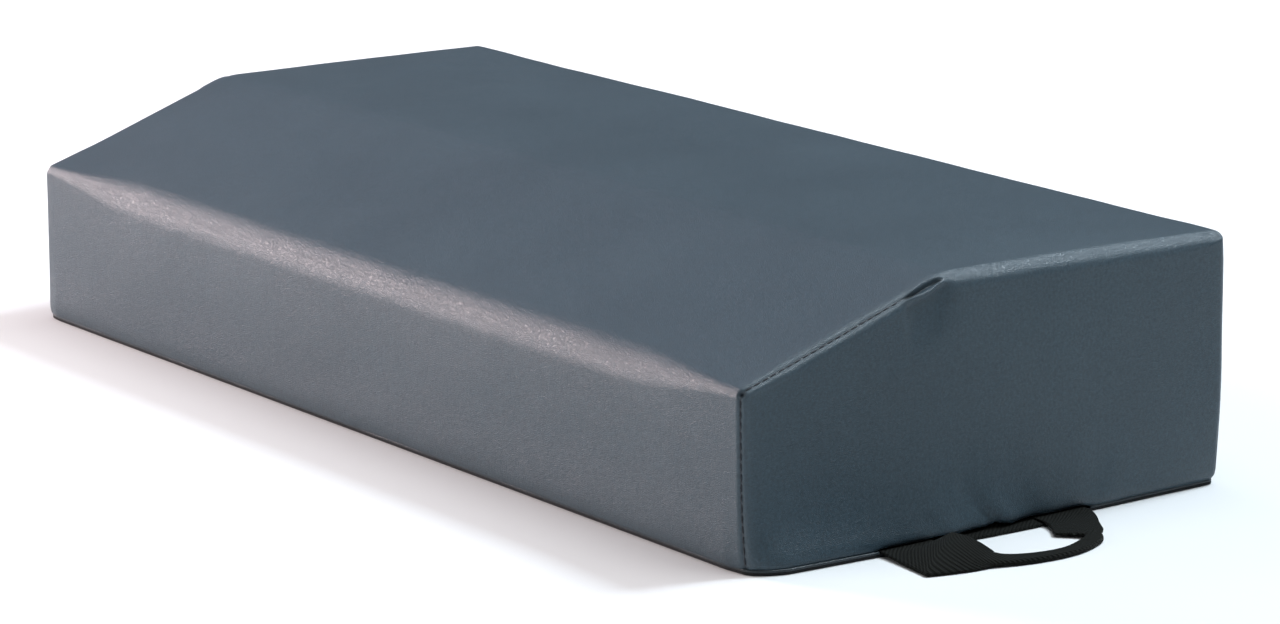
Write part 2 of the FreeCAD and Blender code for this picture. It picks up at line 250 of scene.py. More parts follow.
def vinyl_material(name, worn=True, shade=1.0):
    """Padded upholstery vinyl: fine pebbled leather grain, satin, with painted shade in its seams."""
    s = Shader(name)
    bend = s.noise(190.0, 3.0)
    shift = s.add("ShaderNodeVectorMath", {0: bend, 1: (0.0016,) * 3}, operation="MULTIPLY")
    shifted = s.add(
        "ShaderNodeVectorMath", {0: s.place, 1: shift.outputs[0]}, operation="ADD"
    ).outputs[0]
    pebble = s.add(
        "ShaderNodeTexVoronoi",
        {"Vector": shifted, "Scale": 1050.0, "Randomness": 1.0},
        feature="DISTANCE_TO_EDGE",
    ).outputs["Distance"]
    pebble = s.math("POWER", s.math("MULTIPLY", pebble, 2.2, clamp=True), 0.8)
    wrinkle = s.noise(430.0, 4.0, 0.62, where=shifted)
    fine = s.noise(2300.0, 2.0, 0.5)
    height = s.math("ADD", s.math("MULTIPLY", pebble, 0.55), s.math("MULTIPLY", wrinkle, 0.55))
    height = s.math("ADD", height, s.math("MULTIPLY", fine, 0.18))
    normal = s.bump(height, 0.5, 0.0006)
    large = s.noise(9.0, 3.0, 0.55)
    normal = s.bump(s.noise(38.0, 2.0, 0.5), 0.16, 0.0022, normal)
    base = s.ramp(large, [(0.3, (0.027, 0.056, 0.078)), (0.7, (0.035, 0.068, 0.092))])
    mottle = s.ramp(s.noise(560.0, 3.0, 0.7, where=shifted), [(0.3, 0.66), (0.7, 1.3)])
    base = s.mix(1.0, base, mottle, "MULTIPLY")
    # A shade below 1 darkens the whole material evenly: painted shade.
    if shade != 1.0:
        base = s.mix(1.0, base, (shade,) * 3, "MULTIPLY")
    gaps = s.math("MULTIPLY", s.math("SUBTRACT", 1.0, pebble), 0.4)
    base = s.mix(gaps, base, (0.014, 0.026, 0.036))
    # With worn set: a lighter band along each end's rounded edge, and painted shade, near black, in
    # the seam valleys, dart folds and corner holes.
    if worn:
        base = s.mix(s.math("MULTIPLY", s.mask("edge"), 0.3), base, (0.085, 0.115, 0.14))
        base = s.mix(s.mask("crease_shade"), base, (0.010, 0.016, 0.024))
    uneven = s.math("ADD", s.math("MULTIPLY", large, 0.5), s.math("MULTIPLY", wrinkle, 0.5))
    rough = s.add("ShaderNodeMapRange", {"Value": uneven, 3: 0.33, 4: 0.43}).outputs[0]
    return s.finish(colour=base, rough=rough, normal=normal, specular=0.5, sheen=0.05)


def webbing_material(name):
    """Black webbing in a diagonal twill: raised ribs at a slant, each broken into short floats."""
    s = Shader(name)
    weave_place = s.add("ShaderNodeUVMap").outputs[0]
    across, along = s.add("ShaderNodeSeparateXYZ", {0: weave_place}).outputs[:2]
    slant = s.math("ADD", s.math("MULTIPLY", along, 0.34), s.math("MULTIPLY", across, 0.34))
    other = s.math("SUBTRACT", s.math("MULTIPLY", along, 0.68), s.math("MULTIPLY", across, 0.68))
    ribs = s.math("SINE", s.math("MULTIPLY", slant, 2 * math.pi))
    floats = s.math("SINE", s.math("MULTIPLY", other, 2 * math.pi))
    weave = s.math("ADD", s.math("MULTIPLY", ribs, 0.5), s.math("MULTIPLY", floats, 0.28))
    fuzz = s.noise(2600.0, 3.0, 0.6)
    normal = s.bump(s.math("ADD", weave, s.math("MULTIPLY", fuzz, 0.4)), 0.8, 0.0006)
    tone = s.math("ADD", s.math("MULTIPLY", weave, 0.45), s.math("MULTIPLY", fuzz, 0.7))
    colour = s.ramp(tone, [(0.05, (0.0008, 0.001, 0.0008)), (0.95, (0.009, 0.010, 0.0065))])
    return s.finish(colour=colour, rough=0.75, normal=normal, sheen=0.02, specular=0.12)


def thread_material(name, colour):
    """Twisted sewing thread."""
    s = Shader(name)
    twist = s.add(
        "ShaderNodeTexWave",
        {"Vector": s.place, "Scale": 900.0, "Distortion": 1.5},
        wave_type="BANDS",
        bands_direction="DIAGONAL",
    ).outputs["Fac"]
    normal = s.bump(twist, 0.5, 0.0002)
    shade = s.mix(twist, [c * 0.6 for c in colour], colour)
    return s.finish(colour=shade, rough=0.62, normal=normal, sheen=0.2)


def foam_material(name):
    """Cream foam with open cells."""
    s = Shader(name)
    cells = s.add("ShaderNodeTexVoronoi", {"Vector": s.place, "Scale": 480.0}).outputs["Distance"]
    normal = s.bump(cells, 0.6, 0.0006)
    colour = s.mix(cells, (0.50, 0.47, 0.38), (0.66, 0.63, 0.52))
    return s.finish(colour=colour, rough=0.93, normal=normal)


def base_material(name):
    """Non-slip base cloth: rubbery, with rows of small raised dots over a plain weave."""
    s = Shader(name)
    dots = s.add(
        "ShaderNodeTexVoronoi", {"Vector": s.place, "Scale": 260.0, "Randomness": 0.0}, feature="F1"
    ).outputs["Distance"]
    dots = s.math("LESS_THAN", dots, 0.3)
    grit = s.noise(1500.0, 3.0, 0.6)
    normal = s.bump(s.math("ADD", dots, s.math("MULTIPLY", grit, 0.4)), 0.7, 0.0005)
    colour = s.ramp(grit, [(0.2, (0.006, 0.007, 0.008)), (0.8, (0.018, 0.019, 0.021))])
    return s.finish(colour=colour, rough=0.82, normal=normal, specular=0.3)


def tape_material(name):
    """Plain-woven zipper tape."""
    s = Shader(name)
    warp, weft = (
        s.add(
            "ShaderNodeTexWave",
            {"Vector": s.place, "Scale": 420.0},
            wave_type="BANDS",
            bands_direction=direction,
        ).outputs["Fac"]
        for direction in ("X", "Z")
    )
    weave = s.math("MULTIPLY", warp, weft)
    colour = s.ramp(weave, [(0.0, (0.005, 0.006, 0.007)), (1.0, (0.02, 0.022, 0.025))])
    return s.finish(colour=colour, rough=0.8, normal=s.bump(weave, 0.6, 0.0003), sheen=0.2)


def coil_material(name):
    """Black nylon, lightly scuffed."""
    s = Shader(name)
    scuff = s.noise(300.0, 4.0, 0.6)
    colour = s.ramp(scuff, [(0.3, (0.010, 0.011, 0.012)), (0.75, (0.03, 0.032, 0.034))])
    return s.finish(colour=colour, rough=0.38, normal=s.bump(scuff, 0.2, 0.0002))


def metal_material(name):
    """Black painted zinc, rubbed bright on its corners."""
    s = Shader(name)
    scuff = s.noise(420.0, 5.0, 0.65)
    worn = s.math("GREATER_THAN", s.noise(900.0, 4.0, 0.7), 0.69)
    colour = s.mix(worn, (0.018, 0.019, 0.021), (0.16, 0.16, 0.15))
    rough = s.add("ShaderNodeMapRange", {"Value": scuff, 3: 0.28, 4: 0.48}).outputs[0]
    return s.finish(colour=colour, rough=rough, metal=0.55, normal=s.bump(scuff, 0.15, 0.0002))


VINYL = vinyl_material("vinyl_grained")
# The welt is the cover's vinyl darkened to 0.3 as painted shade under the hem, without the seam
# marks.
WELT = vinyl_material("vinyl_welt_painted_shade", worn=False, shade=0.3)
WEBBING = webbing_material("webbing_twill")
THREAD = thread_material("thread_navy", (0.007, 0.011, 0.022))
ZIP_THREAD = thread_material("thread_slate", (0.05, 0.07, 0.09))
FOAM = foam_material("foam_cells")
BASE = base_material("base_nonslip")
TAPE = tape_material("zip_tape_weave")
COIL = coil_material("zip_coil_nylon")
METAL = metal_material("zip_metal_painted")


def dress(piece, material, body, slot, *nodes):
    """Gives a piece its material and the body it rides on, and hides the nodes it replaces; its slot
    is not used.
    """
    piece.data.materials.clear()
    piece.data.materials.append(material)
    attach(piece, body)
    if nodes:
        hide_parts(*nodes)


# ---------------------------------------------------------------- camera, floor and lights

CAMERA_AT = Vector((2.6785, -1.7709, 0.7613))
AZIMUTH, ELEVATION, ROLL = (math.radians(a) for a in (56.011, 12.441, -0.415))
LENS, SENSOR, CLIP_END = 149.04, 36.0, 50.0
SKY_COLOUR, SKY_STRENGTH = (0.80, 0.88, 0.96, 1.0), 0.09
PAPER_HALF = 16000
LIGHTS = (
    # name, place, aim, width and depth, watts, colour
    ("overhead", (0.7, 0.9, 3.2), (0.1, 0, 0), (3.6, 3.6), 92.0, (0.95, 0.985, 1.0)),
    ("key_left", (-2.3, -1.1, 0.85), (-0.2, -0.1, 0.1), (0.8, 0.8), 73.0, (1.0, 0.83, 0.84)),
    ("back_left", (-2.5, 0.3, 2.3), (0, 0, 0.12), (1.3, 0.9), 7.5, (1.0, 0.86, 1.0)),
    ("rim", (0.45, 2.0, 2.8), (0.35, 0, 0.12), (0.8, 0.8), 92.0, (0.76, 0.90, 1.0)),
    ("front_fill", (-0.9, -3.2, 1.2), (-0.2, 0, 0.05), (2.6, 1.6), 45.0, (1.0, 0.97, 0.94)),
)


def photo_camera():
    back = Vector(
        (
            math.sin(AZIMUTH) * math.cos(ELEVATION),
            -math.cos(AZIMUTH) * math.cos(ELEVATION),
            math.sin(ELEVATION),
        )
    )
    right = Vector((0, 0, 1)).cross(back).normalized()
    up = back.cross(right)
    turned = right * math.cos(ROLL) + up * math.sin(ROLL)
    upright = up * math.cos(ROLL) - right * math.sin(ROLL)
    data = bpy.data.cameras.new("view")
    data.sensor_width = SENSOR
    data.lens = LENS
    data.clip_end = CLIP_END
    camera = bpy.data.objects.new("view", data)
    turn = Matrix((turned, upright, back)).transposed().to_4x4()
    camera.matrix_world = Matrix.Translation(CAMERA_AT) @ turn
    bpy.context.scene.collection.objects.link(camera)
    bpy.context.scene.camera = camera


def soft_light(name, at, aim, size, power, colour):
    data = bpy.data.lights.new(name, "AREA")
    data.shape = "RECTANGLE"
    data.size, data.size_y = size
    data.energy = power
    data.color = colour
    lamp = bpy.data.objects.new(name, data)
    lamp.location = at
    lamp.rotation_euler = (Vector(aim) - Vector(at)).to_track_quat("-Z", "Y").to_euler()
    bpy.context.scene.collection.objects.link(lamp)


def studio():
    scene = bpy.context.scene
    scene.view_settings.view_transform = "Standard"
    world = bpy.data.worlds.new("studio")
    world.use_nodes = True
    sky = world.node_tree.nodes["Background"]
    sky.inputs["Color"].default_value = SKY_COLOUR
    sky.inputs["Strength"].default_value = SKY_STRENGTH
    scene.world = world
    for light in LIGHTS:
        soft_light(*light)
    floor = add_mesh(
        "floor",
        [(x * PAPER_HALF, y * PAPER_HALF, 0) for x, y in ((-1, -1), (1, -1), (1, 1), (-1, 1))],
        [(0, 1, 2, 3)],
        False,
    )
    s = Shader("floor_paper")
    tone = s.ramp(s.noise(0.8), [(0.2, (0.79, 0.79, 0.795)), (0.8, (0.83, 0.83, 0.83))])
    floor.data.materials.append(s.finish(colour=tone, rough=0.75, specular=0.2))


photo_camera()
studio()


# ---------------------------------------------------------------- the cover's form

# Rows of the grid along the outline, from the front hem over the top to the back hem.
FRONT_ARC, CREST_ARC, BACK_ARC = 16, 12, 10
FRONT_ROWS, SLOPE_ROWS, TOP_ROWS = 24, 46, 36
BACK_LEVELS = (
    [136, 130, 124, 118, 112, 106, 100, 94, 88, 82, 76, 70, 64, 58, 52, 46, 41, 37, 34, 32]
    + [SLOT_HIGH, SLOT_LOW, 18, 15.5, 12.5, 9.5, 6.8, HEM]
)
SLOT_LEVEL = BACK_LEVELS.index(SLOT_HIGH)
BACK_ROWS = len(BACK_LEVELS) - 1
FRONT_STEPS = np.concatenate(
    [[0, 1.2, 2.6, 4.2, 6.2, 8.6, 11.5, 15, 19, 23.5], np.arange(28, 94, 5.0), [97.6]]
)
FRONT_STEPS = FRONT_STEPS / FRONT_STEPS[-1]
CREST_ROUND = 60.0
FRONT_ROUND, BACK_ROUND = 22.0, 6.0
FRONT_CORNER, BACK_CORNER = 6.5, 4.0
ARC_A = FRONT_ROWS
ARC_B = ARC_A + FRONT_ARC
ARC_C = ARC_B + SLOPE_ROWS
ARC_D = ARC_C + CREST_ARC
ARC_E = ARC_D + TOP_ROWS
ARC_F = ARC_E + BACK_ARC
ROWS = ARC_F + BACK_ROWS + 1
FRONT_SPLIT = ARC_A + FRONT_ARC // 2
BACK_SPLIT = ARC_E + BACK_ARC // 2


def fillet(before, corner, after, radius, count):
    """Points round a corner of an outline."""
    a, b = unit(before - corner), unit(after - corner)
    half = math.acos(float(np.clip(a @ b, -1, 1))) / 2
    reach = radius / math.tan(half)
    centre = corner + unit(a + b) * radius / math.sin(half)
    start, stop = corner + a * reach - centre, corner + b * reach - centre
    sweep = math.pi - 2 * half
    out = []
    for t in np.linspace(0, 1, count + 1):
        swung = start * math.sin((1 - t) * sweep) + stop * math.sin(t * sweep)
        out.append(centre + swung / math.sin(sweep))
    return np.array(out)


def profile(front_round, back_round, inset=0.0):
    """The end outline, front hem to back hem, moved inwards by an inset."""
    low_front = np.array((FRONT + inset, HEM))
    drop = inset * (1 - math.sin(SLOPE)) / math.cos(SLOPE)
    front = np.array((FRONT + inset, FRONT_TOP - drop))
    crest = np.array((CREST_Y + inset * math.tan(SLOPE / 2), TOP - inset))
    back = np.array((BACK - inset, TOP - inset))
    low_back = np.array((BACK - inset, HEM))
    least = 0.45 * inset
    arc_front = fillet(low_front, front, crest, max(front_round - inset, least), FRONT_ARC)
    arc_crest = fillet(front, crest, back, CREST_ROUND - inset, CREST_ARC)
    arc_back = fillet(crest, back, low_back, max(back_round - inset, least), BACK_ARC)
    rise = low_front + FRONT_STEPS[:, None] * (arc_front[0] - low_front)
    slope = np.linspace(arc_front[-1], arc_crest[0], SLOPE_ROWS + 1)
    top = np.linspace(arc_crest[-1], arc_back[0], TOP_ROWS + 1)
    levels = np.interp(BACK_LEVELS, [HEM, BACK_LEVELS[0]], [HEM, arc_back[-1][1]])
    levels[SLOT_LEVEL:] = BACK_LEVELS[SLOT_LEVEL:]
    fall = np.column_stack([np.full(len(levels), BACK - inset), levels])
    return np.vstack([rise[:-1], arc_front, slope[1:-1], arc_crest, top[1:-1], arc_back, fall[1:]])


# Columns of the grid round an end: the rounded edge, then a collar on the end's face.
RING = 15
COLLAR = np.array([0.7, 1.5, 2.5, 3.8, 5.6, 8.0])
CORNER_ROUND, SLOPE_ROUND, HIDDEN_ROUND = 4.4, 8.2, 3.8
NEAR_TOP_ROUND, FAR_TOP_ROUND = 9.5, 6.0
INSET_STEP = 0.5
INSETS = np.arange(0, 24.01, INSET_STEP)
END_PROFILES = np.array([profile(FRONT_CORNER, BACK_CORNER, inset) for inset in INSETS])


def inset_profile(inset):
    """The end outline with an inset of its own for every row."""
    place = np.clip(inset / INSET_STEP, 0, len(INSETS) - 1.001)
    k = place.astype(int)
    t = (place - k)[:, None]
    rows = np.arange(ROWS)
    return END_PROFILES[k, rows] * (1 - t) + END_PROFILES[k + 1, rows] * t


def edge_rounds(side):
    """The radius round the outline of an end: tight where it is sewn, soft where it only folds."""
    soft = NEAR_TOP_ROUND if side > 0 else FAR_TOP_ROUND
    return np.interp(
        np.arange(ROWS),
        [0, ARC_B, ARC_B + 12, ARC_C - 4, ARC_D + 4, ARC_E - 3, ARC_F, ROWS - 1],
        [CORNER_ROUND] * 2 + [SLOPE_ROUND] * 2 + [soft] * 2 + [HIDDEN_ROUND] * 2,
    )


def profile_at(x):
    """The profile at a place along the mat: its long edges tighten towards the ends."""
    front, back = float(smooth(285, 398, abs(x))), float(smooth(335, 392, abs(x)))
    return profile(
        FRONT_ROUND + (FRONT_CORNER - FRONT_ROUND) * front,
        BACK_ROUND + (BACK_CORNER - BACK_ROUND) * back,
    )


def build_cover():
    """Grid of the cover before it is pressed out: the wrap end to end, then both end panels."""
    near_end = [372, 374.5, 377, 379, 381, 383, 384.8, 386.4, 387.8]
    inner = np.concatenate([np.arange(0, 330, 6.0), np.arange(330, 372, 3.0), near_end])
    stations = np.concatenate([-inner[:0:-1], inner])
    columns = []
    turn = np.linspace(0, math.pi / 2, RING + 1)

    def ring_columns(side):
        radius = edge_rounds(side)
        made = []
        for theta in turn:
            flat = inset_profile(radius * (1 - math.cos(theta)))
            x = side * (END - radius * (1 - math.sin(theta)))
            made.append(np.column_stack([x, flat]))
        for extra in COLLAR:
            flat = inset_profile(radius + extra)
            made.append(np.column_stack([np.full(ROWS, side * END), flat]))
        return made

    columns.extend(ring_columns(-1)[::-1])
    for x in stations:
        columns.append(np.column_stack([np.full(ROWS, x), profile_at(x)]))
    columns.extend(ring_columns(1))
    wrap = np.array(columns).transpose(1, 0, 2)
    points = list(wrap.reshape(-1, 3))
    count = wrap.shape[1]
    index = np.arange(ROWS * count).reshape(ROWS, count)
    faces = []
    slot_row = ARC_F + SLOT_LEVEL
    for r in range(ROWS - 1):
        for c in range(count - 1):
            if r == slot_row:
                x = (wrap[r, c, 0] + wrap[r, c + 1, 0]) / 2
                if abs(x) < SLOT_HALF:
                    continue
            faces.append((index[r, c], index[r, c + 1], index[r + 1, c + 1], index[r + 1, c]))

    def end_panel(column, flip):
        """A grid across an end, blended from the four sides of its outline."""
        border = wrap[:, column]
        left = border[: FRONT_SPLIT + 1]
        right = border[BACK_SPLIT:][::-1]
        top = border[FRONT_SPLIT : BACK_SPLIT + 1]
        tall, wide = len(left) - 1, len(top) - 1
        share = (top[:, 1] - top[0, 1]) / (top[-1, 1] - top[0, 1])
        low = left[0] + share[:, None] * (right[0] - left[0])
        grid = np.empty((tall + 1, wide + 1), int)
        spread_l = (left[:, 2] - left[0, 2]) / (left[-1, 2] - left[0, 2])
        spread_r = (right[:, 2] - right[0, 2]) / (right[-1, 2] - right[0, 2])
        for i in range(tall + 1):
            for j in range(wide + 1):
                if j == 0:
                    grid[i, j] = index[i, column]
                elif j == wide:
                    grid[i, j] = index[ROWS - 1 - i, column]
                elif i == tall:
                    grid[i, j] = index[FRONT_SPLIT + j, column]
                else:
                    u = share[j]
                    v = spread_l[i] * (1 - u) + spread_r[i] * u
                    side = left[i] * (1 - u) + right[i] * u
                    base = low[j] * (1 - v) + top[j] * v
                    foot = left[0] * (1 - u) + right[0] * u
                    head = left[-1] * (1 - u) + right[-1] * u
                    corner = foot * (1 - v) + head * v
                    grid[i, j] = len(points)
                    points.append(side + base - corner)
        for i in range(tall):
            for j in range(wide):
                face = (grid[i, j], grid[i, j + 1], grid[i + 1, j + 1], grid[i + 1, j])
                faces.append(face[::-1] if flip else face)

    end_panel(count - 1, False)
    end_panel(0, True)
    return np.array(points), faces, index


FLARE = ((-172, 2.0), (-166, 7.5), (-158, 13.5), (-148, 16.5), (-84, 16.5), (85, 3.5))
FLARE += ((150, -2.0), (168, -3.5))
FAR_TUCK = 3.0


def flare(y):
    """How far the handle end's foot stands out beyond its upper edge."""
    return np.interp(y, *zip(*FLARE))


def foot_out(x, y, z):
    """The outward push of an end at its foot."""
    low = np.exp(-((np.maximum(z, 0) / 26.0) ** 1.25))
    near = flare(y) * low * smooth(372, 399, x)
    far = -FAR_TUCK * bell(y, 140) * low * smooth(372, 399, -x)
    return near + far


def press_out(points):
    """Fills the cover: soft crowns on every face, the handle end's flare, and a tucked hem."""
    x, y, z = points.T.copy()
    side = np.sign(x)
    out = points.copy()
    long = 1 - (np.abs(x) / END) ** 8
    front_band = smooth(FRONT + 14, FRONT + 1, y)
    back_band = smooth(BACK - 12, BACK - 1, y)
    end_band = smooth(END - 12, END - 0.5, np.abs(x))
    front_rise = np.clip(1 - ((z - 52) / 54) ** 2, 0, 1)
    back_rise = smooth(6, 95, z) * (1 - 0.6 * smooth(132, 150, z))
    back_long = 1 - (np.abs(x) / (END + 4)) ** 30
    out[:, 1] -= 1.6 * front_band * front_rise * long
    out[:, 1] += 4.4 * back_band * back_rise * back_long
    out[:, 1] -= 2.2 * front_band * bell(z - HEM, 24) * (1 - smooth(384, 400, np.abs(x)))
    across = np.clip(1 - ((y + 5) / 168) ** 2, 0, 1)
    end_rise = np.clip(1 - ((z - 66) / 82) ** 2, 0, 1)
    out[:, 0] += side * 2.2 * end_band * across * end_rise
    slope_z = np.interp(y, [FRONT, CREST_Y, BACK], [FRONT_TOP, TOP, TOP])
    upper = smooth(-14, -0.5, z - slope_z)
    slope_crown = np.clip(1 - ((y + 102) / 66) ** 2, 0, 1)
    top_crown = np.clip(1 - np.abs((y - 66) / 104) ** 4, 0, 1)
    out[:, 2] += upper * long * (1.4 * slope_crown + 2.6 * top_crown)
    out[:, 0] += foot_out(x, y, z)
    low = np.clip((HEM + 6.0 - z) / 6.0, 0, 1)
    tuck = 1.7 * (1 - np.sqrt(np.clip(1 - low**2, 0, 1)))
    start, stop = STRAP_WAY
    lift = smooth(start - 5, start + 1, y) * (1 - smooth(stop - 1, stop + 5, y))
    out[:, 2] -= low * 1.7 * (1 - lift * smooth(380, 396, x))
    out[:, 1] += tuck * front_band - tuck * back_band
    out[:, 0] -= side * tuck * end_band
    return out


cover_points, cover_faces, cover_index = build_cover()
cover_rest = cover_points.copy()
cover_points = press_out(cover_points)
cover = add_mesh("vinyl_cover", cover_points, cover_faces)


# How far round an end's rounded edge its seam runs, from the wrap's side.
SEAM_TURN = math.radians(42)


def mesh_arrays(piece):
    """A piece's points, in millimetres, and its vertex normals."""
    count = len(piece.data.vertices)
    where, facing = np.empty(count * 3), np.empty(count * 3)
    piece.data.vertices.foreach_get("co", where)
    piece.data.vertices.foreach_get("normal", facing)
    return where.reshape(-1, 3) / MM, facing.reshape(-1, 3)


def seam_column(side):
    """The grid column that runs down the valley of an end's seam."""
    k = int(round(SEAM_TURN / (math.pi / 2) * RING))
    rings = RING + 1 + len(COLLAR)
    return cover_index.shape[1] - rings + k if side > 0 else rings - 1 - k


def dart_relief(side):
    """Where an end's seam stops at the crest, its spare cloth opens into a small folded lip, with
    painted shade inside it.
    """
    x, y, z = cover_rest.T
    along = (y - CREST_Y) / math.cos(SLOPE)
    outline = np.interp(y, [FRONT, CREST_Y, BACK], [FRONT_TOP, TOP, TOP])
    below = (outline - z) * np.where(y < CREST_Y, math.cos(SLOPE), 1.0)
    b = below - (END - side * x) - 0.6
    q = np.clip((along + 25.0) / 29.0, 0, 1)
    wide = 0.35 + 2.7 * np.sin(math.pi * q**1.25) ** 0.8
    run = smooth(-26, -22, along) * (1 - smooth(2, 6, along))
    inside = np.clip(1 - (b / wide) ** 2, 0, 1)
    relief = -2.6 * inside * run
    relief += run * (0.8 * bell(b + wide + 0.9, 1.2) + 1.5 * bell(b - wide - 1.0, 1.3))
    hollow = smooth(-27, -19, along) * (1 - smooth(-2, 14, along))
    relief -= 2.4 * hollow * smooth(1.6, 5.2, b - wide) * (1 - smooth(6.0, 34.0, b - wide))
    # Painted shade inside the lip, strongest where the seam stops and fading towards the crest.
    shade = run * inside * (0.85 - 0.75 * smooth(-22, -4, along))
    near = side * x > END - 60
    return np.where(near, relief, 0.0), np.where(near, shade, 0.0)


def pull_creases():
    """Soft creases where the sewn-in handle pulls on the end panel, and a faint unevenness."""
    x, y, z = cover_rest.T
    face = smooth(END - 6, END, x)
    relief = np.zeros(len(x))
    for (y0, z0), (y1, z1), depth, width in (
        ((6, -2), (-26, 32), 3.4, 3.4),
        ((-40, 0), (-58, 24), 0.9, 5.0),
        ((30, 0), (16, 30), 0.8, 6.0),
        ((-14, 4), (-20, 60), 0.5, 9.0),
        ((66, 2), (84, 40), 0.6, 8.0),
    ):
        a, d = np.array((y0, z0)), np.array((y1 - y0, z1 - z0), float)
        reach = np.linalg.norm(d)
        d = d / reach
        along = (y - a[0]) * d[0] + (z - a[1]) * d[1]
        off = (y - a[0]) * d[1] - (z - a[1]) * d[0]
        fade = np.clip(1 - np.maximum(along, 0) / reach, 0, 1) ** 0.8
        fold = 0.55 * bell(off - 1.7 * width, 1.3 * width) - bell(off, width)
        relief += face * depth * fade * fold
    soft = np.array([noise.noise(Vector(p) * 0.011) for p in cover_rest])
    apart = Vector((7, 3, 1))
    finer = np.array([noise.noise(Vector(p) * 0.034 + apart) for p in cover_rest])
    return relief + 0.55 * soft + 0.16 * finer


def seam_relief():
    """Along the sewn edges: a narrow valley with a soft ridge on each side of it, and masks for the
    vinyl's colour: painted shade in the valleys, dart folds and corner holes, and a band along each
    end's edge.
    """
    where, facing = mesh_arrays(cover)
    relief = np.zeros(len(where))
    crease_shade = np.zeros(len(where))
    edge = np.zeros(len(where))
    rows = np.arange(ROWS)
    sewn = smooth(-0.5, 0.5, rows) * (1 - smooth(ARC_C - 2, ARC_C + 3, rows))
    back_sewn = smooth(ARC_F + 17, ARC_F + 23, rows)
    count = cover_index.shape[1]
    turn = np.linspace(0, math.pi / 2, RING + 1)
    for side in (-1, 1):
        radius = edge_rounds(side)
        reach = [(angle - SEAM_TURN) * radius for angle in turn]
        reach += [(math.pi / 2 - SEAM_TURN) * radius + extra for extra in COLLAR]
        for k, gap in enumerate(reach):
            last = len(reach) - 1 - k
            ids = cover_index[:, count - 1 - last if side > 0 else last]
            valley = bell(gap, 1.15)
            ridge = bell(gap - 3.4, 2.0) + 0.6 * bell(gap + 3.2, 2.0)
            relief[ids] += sewn * (0.22 * ridge - 0.75 * valley)
            relief[ids] -= 0.9 * back_sewn * bell(gap - 1.0, 0.9)
            # Painted shade down the seam valleys, less on the sloped part, and down the low part of
            # the seam on the back face.
            upright = np.where(rows < FRONT_SPLIT, 0.8, 0.6)
            crease_shade[ids] = np.maximum(crease_shade[ids], sewn * bell(gap, 0.55) * upright)
            crease_shade[ids] = np.maximum(crease_shade[ids], back_sewn * bell(gap - 1.0, 0.8))
            edge[ids] = np.maximum(edge[ids], bell(gap, 4.5))
    # Each end's dart lip and the hole at its front-top corner are sunk in and carry painted shade.
    for side in (-1, 1):
        dart, shade = dart_relief(side)
        relief += dart
        crease_shade = np.maximum(crease_shade, shade)
        hole = where[cover_index[FRONT_SPLIT, seam_column(side)]]
        near = np.linalg.norm(where - hole, axis=1)
        relief -= 2.3 * bell(near, 1.7)
        crease_shade = np.maximum(crease_shade, bell(near, 1.9))
    relief += pull_creases()
    where += facing * relief[:, None]
    cover.data.vertices.foreach_set("co", (where * MM).ravel())
    cover.data.update()
    for name, values in (("crease_shade", crease_shade), ("edge", edge)):
        cover.data.attributes.new(name, "FLOAT", "POINT").data.foreach_set("value", values)


seam_relief()


def seam_line(side):
    """Points and outward directions down the valley of an end's seam, front hem to crest."""
    where, facing = mesh_arrays(cover)
    ids = cover_index[: ARC_C - 5, seam_column(side)]
    return where[ids], facing[ids]


def stitches(line, facing, start, stop, pitch, length, radius, sink=0.0):
    """Separate stitches along a line, each a short arched run of thread."""
    steps = np.linalg.norm(np.diff(line, axis=0), axis=1)
    run = np.concatenate([[0], np.cumsum(steps)])
    stop = run[-1] - stop
    parts = []
    at = start
    while at + length < stop:
        s = np.linspace(at, at + length, 7)
        centre = np.column_stack([np.interp(s, run, line[:, k]) for k in range(3)])
        out = unit(np.column_stack([np.interp(s, run, facing[:, k]) for k in range(3)]))
        arch = np.sin(np.linspace(0, math.pi, 7)) ** 0.6
        centre = centre + out * (radius * (arch * 1.2 - 0.6) - sink)[:, None]
        parts.append(tube(centre, radius * (0.55 + 0.45 * arch), 7))
        at += pitch
    return joined(parts)


STITCH_PITCH, STITCH_LENGTH = 5.8, 4.8

for side, node in ((1, "seam_thread_near_end"), (-1, "seam_thread_far_end")):
    line, facing = seam_line(side)
    upright, sloped = slice(None, FRONT_SPLIT + 1), slice(FRONT_SPLIT, None)
    size = (STITCH_PITCH, STITCH_LENGTH)
    lower = stitches(line[upright], facing[upright], 3.0, 3.5, *size, 0.42)
    upper = stitches(line[sloped], facing[sloped], 3.5, 0.5, *size, 0.44)
    thread = add_mesh(node + "_stitches", *joined([lower, upper]))
    dress(thread, THREAD, "root", "thread", node)

apply_modifier(cover, "SOLIDIFY", thickness=SKIN * MM, offset=-1.0)
dress(cover, VINYL, "root", "vinyl", "cover_shell")


# ---------------------------------------------------------------- foam, base and welt


FOAM_GAP, FOAM_END_GAP = 7.0, 10.0


